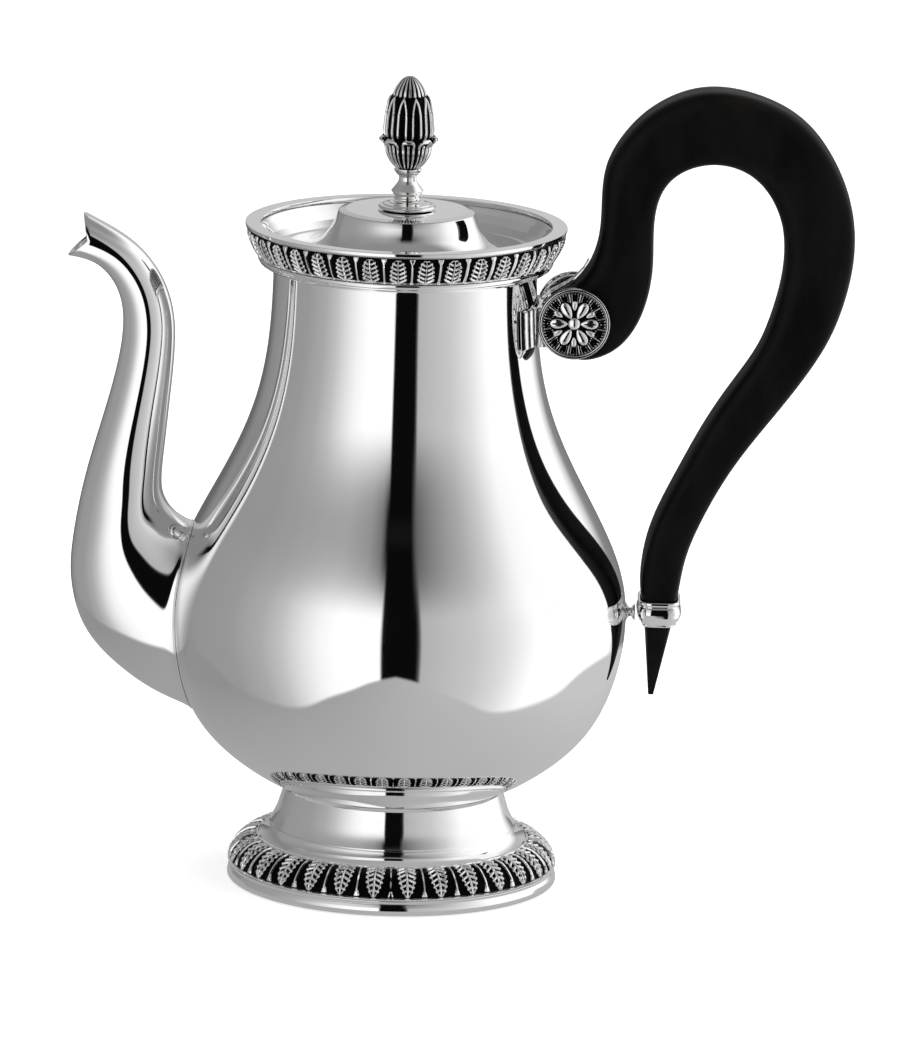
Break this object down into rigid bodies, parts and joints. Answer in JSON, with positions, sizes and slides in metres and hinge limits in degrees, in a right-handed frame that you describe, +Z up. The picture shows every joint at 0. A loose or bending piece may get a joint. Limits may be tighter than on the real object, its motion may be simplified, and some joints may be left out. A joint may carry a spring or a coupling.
{
  "type": "silver coffee pot",
  "caption": "Pear-shaped silver coffee pot on a flared foot with leaf friezes, a swan-neck spout, a lift-off lid with a bud finial and a looped ebonised wood handle.",
  "frame": {"origin": "on the surface that the foot stands on, under the middle of the whole pot's bounding box; the pot's own axis is 16.5 mm towards -X", "axes": "+Z up the pot's axis, +X towards the handle, so the spout points to -X; +Y across"},
  "size_m": [0.2343, 0.1376, 0.2449],
  "materials": {
    "body_silver": "mirror polished",
    "foot_silver": "mirror polished",
    "lid_silver": "mirror polished",
    "relief_silver": "cast relief, oxidised ground, polished highlights",
    "fitting_silver": "polished casting",
    "stud_metal": "turned",
    "ebonised_wood": "satin black"
  },
  "bodies": {
    "pot": {"body_bowl": "body_silver", "body_shell": "body_silver", "body_base": "body_silver", "neck_ring": "body_silver", "rim_frieze": "relief_silver", "rim_lip": "body_silver", "lid_gallery": "body_silver", "foot_pedestal": "foot_silver", "foot_leaf_band": "relief_silver", "foot_rim": "foot_silver", "spout": "body_silver", "handle": "ebonised_wood", "handle_socket": "fitting_silver", "socket_leaf": "fitting_silver", "socket_pin": "stud_metal", "rosette_front": "relief_silver", "rosette_back": "relief_silver", "ferrule_ring": "fitting_silver", "ferrule_post": "fitting_silver"},
    "lid": {"lid": "lid_silver", "lid_bezel": "lid_silver", "finial_foot": "fitting_silver", "finial_knop": "fitting_silver", "finial_calyx": "relief_silver", "finial_bud": "relief_silver", "finial_stud": "stud_metal", "finial_washer": "stud_metal", "finial_nut": "stud_metal"}
  },
  "joints": [
    {"name": "lid_lift", "type": "slide", "parent": "pot", "child": "lid", "axis": [0, 0, 1], "range_m": [0, 0.06]}
  ]
}
